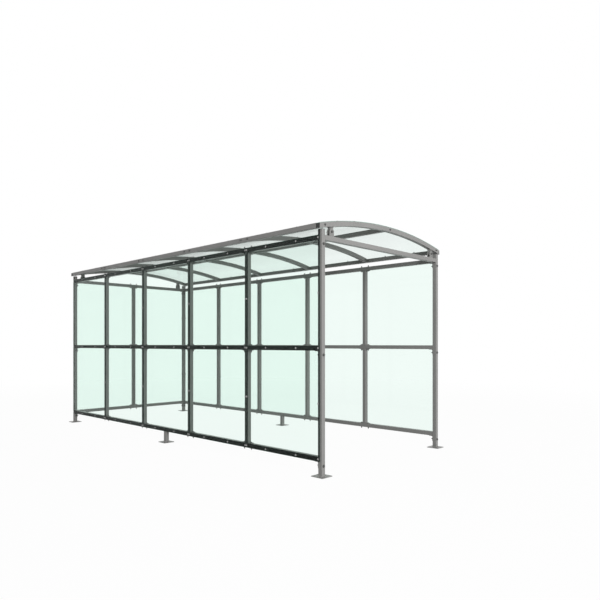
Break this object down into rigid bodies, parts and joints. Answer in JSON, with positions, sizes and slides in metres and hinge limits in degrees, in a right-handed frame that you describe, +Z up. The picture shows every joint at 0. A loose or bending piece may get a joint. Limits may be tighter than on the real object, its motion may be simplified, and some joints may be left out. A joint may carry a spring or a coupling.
{
  "type": "shopping cart shelter",
  "caption": "Open-fronted shelter for rows of shopping carts: bolted square-tube frame, clear wall sheets on its outside and a shallow arched clear roof.",
  "frame": {"origin": "on the ground at the middle of the plan", "axes": "+Z up, the open end faces -Y, the long walls run along Y"},
  "size_m": [2.14, 5.14, 2.4008],
  "materials": {
    "frame_steel": "satin",
    "cleat_steel": "satin",
    "seal_rubber": "matte",
    "wall_sheet": "clear",
    "roof_sheet": "clear",
    "cap_plastic": "matte",
    "fastener_steel": "zinc plated",
    "fastener_dark": "satin"
  },
  "bodies": {
    "root": {"foot_plates": "frame_steel", "mid_legs": "frame_steel", "post_front_left": "frame_steel", "post_front_right": "frame_steel", "post_rear_left": "frame_steel", "post_rear_right": "frame_steel", "left_bottom_rail": "frame_steel", "left_mid_rail": "frame_steel", "left_top_rail": "frame_steel", "right_bottom_rail": "frame_steel", "right_mid_rail": "frame_steel", "right_top_rail": "frame_steel", "rear_bottom_rail": "frame_steel", "rear_mid_rail": "frame_steel", "rear_top_rail": "frame_steel", "front_tie_beam": "frame_steel", "left_mullions": "frame_steel", "right_mullions": "frame_steel", "rear_mullions": "frame_steel", "front_arch": "frame_steel", "rear_arch": "frame_steel", "inner_arches": "frame_steel", "edge_beam_left": "frame_steel", "edge_beam_right": "frame_steel", "ridge_purlin": "frame_steel", "left_cleats": "cleat_steel", "right_cleats": "cleat_steel", "rear_cleats": "cleat_steel", "roof_bracket_clevises": "cleat_steel", "roof_bracket_lugs": "cleat_steel", "roof_cleats": "cleat_steel", "left_seals": "seal_rubber", "right_seals": "seal_rubber", "rear_seals": "seal_rubber", "left_lower_sheets": "wall_sheet", "left_upper_sheets": "wall_sheet", "right_lower_sheets": "wall_sheet", "right_upper_sheets": "wall_sheet", "rear_lower_sheets": "wall_sheet", "rear_upper_sheets": "wall_sheet", "roof_sheets": "roof_sheet", "post_caps": "cap_plastic", "arch_end_caps": "cap_plastic"}
  },
  "joints": []
}
